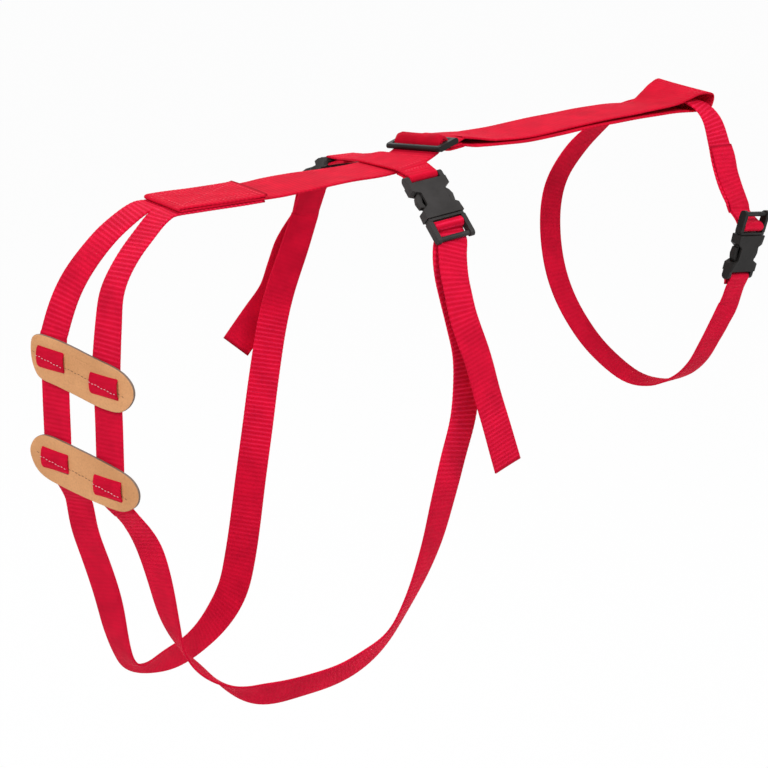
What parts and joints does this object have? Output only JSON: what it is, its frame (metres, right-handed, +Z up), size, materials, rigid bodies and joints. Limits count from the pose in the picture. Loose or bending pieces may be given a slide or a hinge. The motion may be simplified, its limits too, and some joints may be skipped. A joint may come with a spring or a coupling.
{
  "type": "strap harness with neck loop and rear straps",
  "caption": "Webbing body harness as worn: wide back strap, neck loop, cross strap, rear straps joined by leather tabs, side release buckles and a slider",
  "frame": {"origin": "on the underside of the back strap, below the crossing of the cross strap", "axes": "+X runs along the back to the neck, +Y is the far side of the body and +Z is up"},
  "size_m": [0.6143, 0.2571, 0.4301],
  "materials": {
    "webbing": "ribbed woven webbing",
    "black_plastic": "moulded, semi gloss",
    "grey_plastic": "moulded, fine texture",
    "leather": "smooth tan with a raw edge",
    "red_thread": "sewing thread",
    "pale_thread": "sewing thread"
  },
  "bodies": {
    "harness": {"back_strap": "webbing", "tail_fold": "webbing", "neck_loop": "webbing", "cross_strap": "webbing", "near_rear_strap": "webbing", "near_strap_end": "webbing", "far_rear_strap": "webbing", "far_strap_end": "webbing", "collar_strap": "webbing", "collar_strap_end": "webbing", "upper_tab": "leather", "lower_tab": "leather", "tail_stitches": "red_thread", "tab_stitches": "pale_thread", "near_socket": "grey_plastic", "far_socket": "grey_plastic", "collar_socket": "grey_plastic"},
    "slider": {"back_slider": "black_plastic", "back_hump": "webbing", "slider_end_loop": "webbing"},
    "near_plug_body": {"near_plug": "grey_plastic", "near_tail": "webbing"},
    "near_prong_a_body": {"near_prong_a": "grey_plastic"},
    "near_prong_b_body": {"near_prong_b": "grey_plastic"},
    "far_plug_body": {"far_plug": "grey_plastic", "far_tail": "webbing"},
    "far_prong_a_body": {"far_prong_a": "grey_plastic"},
    "far_prong_b_body": {"far_prong_b": "grey_plastic"},
    "collar_plug_body": {"collar_plug": "grey_plastic", "collar_tail": "webbing"},
    "collar_prong_a_body": {"collar_prong_a": "grey_plastic"},
    "collar_prong_b_body": {"collar_prong_b": "grey_plastic"}
  },
  "joints": [
    {"name": "near_release", "type": "slide", "parent": "harness", "child": "near_plug_body", "axis": [0.0605, -0.692, -0.7193], "range_m": [0, 0.03], "deforming": ["near_prong_a", "near_prong_b", "near_strap_end"]},
    {"name": "near_squeeze_a", "type": "hinge", "parent": "near_plug_body", "child": "near_prong_a_body", "pos_m": [-0.00924, -0.06811, -0.02902], "axis": [0.0766, 0.7218, -0.6879], "range_deg": [0, 12], "stiffness_Nm_per_rad": 0.02},
    {"name": "near_squeeze_b", "type": "hinge", "parent": "near_plug_body", "child": "near_prong_b_body", "pos_m": [0.01266, -0.06841, -0.02689], "axis": [-0.0766, -0.7218, 0.6879], "range_deg": [0, 12], "stiffness_Nm_per_rad": 0.02},
    {"name": "far_release", "type": "slide", "parent": "harness", "child": "far_plug_body", "axis": [0.0453, 0.8648, -0.5], "range_m": [0, 0.03], "deforming": ["far_prong_a", "far_prong_b", "far_strap_end"]},
    {"name": "far_squeeze_a", "type": "hinge", "parent": "far_plug_body", "child": "far_prong_a_body", "pos_m": [0.01564, 0.10099, -0.02425], "axis": [-0.0262, -0.4993, -0.866], "range_deg": [0, 12], "stiffness_Nm_per_rad": 0.02},
    {"name": "far_squeeze_b", "type": "hinge", "parent": "far_plug_body", "child": "far_prong_b_body", "pos_m": [-0.00633, 0.10214, -0.02425], "axis": [0.0262, 0.4993, 0.866], "range_deg": [0, 12], "stiffness_Nm_per_rad": 0.02},
    {"name": "collar_release", "type": "slide", "parent": "harness", "child": "collar_plug_body", "axis": [0.1674, -0.1621, 0.9725], "range_m": [0, 0.03], "deforming": ["collar_prong_a", "collar_prong_b", "collar_strap_end"]},
    {"name": "collar_squeeze_a", "type": "hinge", "parent": "collar_plug_body", "child": "collar_prong_a_body", "pos_m": [0.31684, -0.07603, -0.08004], "axis": [-0.1447, 0.9717, 0.1869], "range_deg": [0, 12], "stiffness_Nm_per_rad": 0.02},
    {"name": "collar_squeeze_b", "type": "hinge", "parent": "collar_plug_body", "child": "collar_prong_b_body", "pos_m": [0.29538, -0.07981, -0.07697], "axis": [0.1447, -0.9717, -0.1869], "range_deg": [0, 12], "stiffness_Nm_per_rad": 0.02},
    {"name": "slider_adjust", "type": "slide", "parent": "harness", "child": "slider", "axis": [0.954, 0.1511, 0.2588], "range_m": [0, 0.012], "deforming": ["back_hump", "slider_end_loop"]}
  ],
  "couplings": [
    {"joint": "near_squeeze_b", "follows": "near_squeeze_a", "ratio": 1},
    {"joint": "far_squeeze_b", "follows": "far_squeeze_a", "ratio": 1},
    {"joint": "collar_squeeze_b", "follows": "collar_squeeze_a", "ratio": 1}
  ]
}
